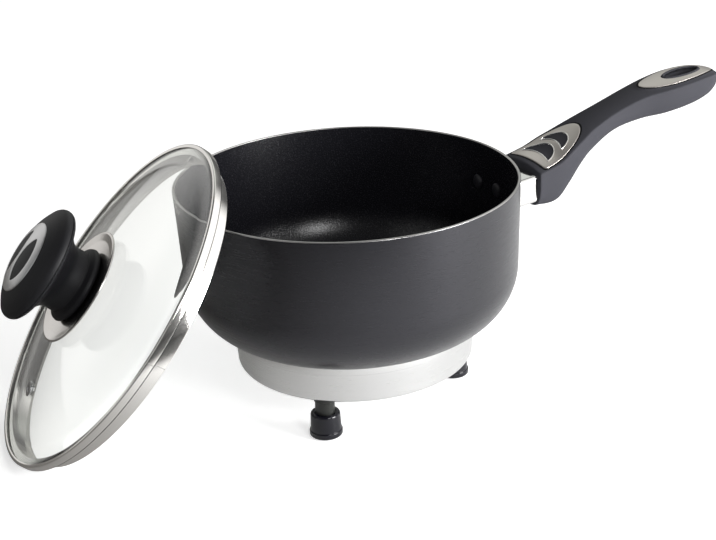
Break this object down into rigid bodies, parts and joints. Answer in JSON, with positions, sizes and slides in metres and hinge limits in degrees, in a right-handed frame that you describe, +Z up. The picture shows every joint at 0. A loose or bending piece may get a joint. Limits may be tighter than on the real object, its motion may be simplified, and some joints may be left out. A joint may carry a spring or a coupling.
{
  "type": "electric saucepan",
  "caption": "Electric saucepan with a non-stick pan over a covered heater, small feet, a long inlaid grip with a hanging slot, and a loose glass lid leaning on its side.",
  "frame": {"origin": "centre of the whole model's footprint at floor level", "axes": "+X along the handle away from the pan, +Z up, the lid leaning on the -X side"},
  "size_m": [0.4939, 0.2357, 0.1639],
  "materials": {
    "pan_coating": "charcoal non-stick coating, satin",
    "polished_steel": "polished stainless steel",
    "plain_steel": "plain satin steel",
    "grip_plastic": "soft-feel charcoal moulding",
    "satin_inlay": "warm satin silver with a bright edge",
    "silver_inlay": "light satin silver",
    "soft_pad": "dark blue-black pad",
    "cover_aluminium": "satin spun aluminium",
    "peg_steel": "dark painted steel",
    "foot_plastic": "black glossy moulding",
    "plain_aluminium": "plain milled aluminium",
    "sheath_steel": "heat-tinted steel tube",
    "terminal_steel": "bright steel pin in a pale seal",
    "felt": "off-white heat felt",
    "limiter_case": "pressed aluminium case",
    "fuse_case": "tinned brass case",
    "lead_sleeve": "pale silicone sleeve",
    "inlet_plastic": "black heat-proof moulding",
    "pin_brass": "plated brass",
    "lid_glass": "clear tempered glass, faint green-grey",
    "knob_plastic": "black heat-proof moulding",
    "gasket_rubber": "grey silicone"
  },
  "bodies": {
    "pan": {"pan_body": "pan_coating", "handle_rivets": "pan_coating", "handle_bracket": "plain_steel", "flame_guard": "polished_steel", "handle_grip": "grip_plastic", "grip_screw": "plain_steel", "front_inlay": "satin_inlay", "front_pads": "soft_pad", "end_inlay": "satin_inlay", "heater_cover": "cover_aluminium", "foot_pegs": "peg_steel", "foot_caps": "foot_plastic", "foot_screws": "plain_steel", "spreader_plate": "plain_aluminium", "heating_element": "sheath_steel", "element_terminals": "terminal_steel", "clamp_ring": "plain_steel", "clamp_studs": "plain_steel", "clamp_nuts": "plain_steel", "cover_stud": "plain_steel", "cover_nut": "plain_steel", "insulation_felt": "felt", "heat_limiter": "limiter_case", "limiter_strap": "plain_steel", "strap_screws": "plain_steel", "thermal_fuse": "fuse_case", "internal_leads": "lead_sleeve", "inlet_socket": "inlet_plastic", "inlet_pins": "pin_brass", "inlet_screws": "plain_steel"},
    "lid": {"lid_glass": "lid_glass", "lid_rim": "polished_steel", "vent_eyelet": "plain_steel", "knob_dish": "polished_steel", "knob_collar": "knob_plastic", "knob": "knob_plastic", "knob_inlay": "silver_inlay", "knob_pads": "soft_pad", "knob_gasket": "gasket_rubber", "knob_washer": "plain_steel", "knob_screw": "plain_steel"}
  },
  "joints": [
    {"name": "lid_lift", "type": "slide", "parent": "pan", "child": "lid", "axis": [-0.7529, 0.1587, 0.6388], "range_m": [0, 0.2]}
  ]
}
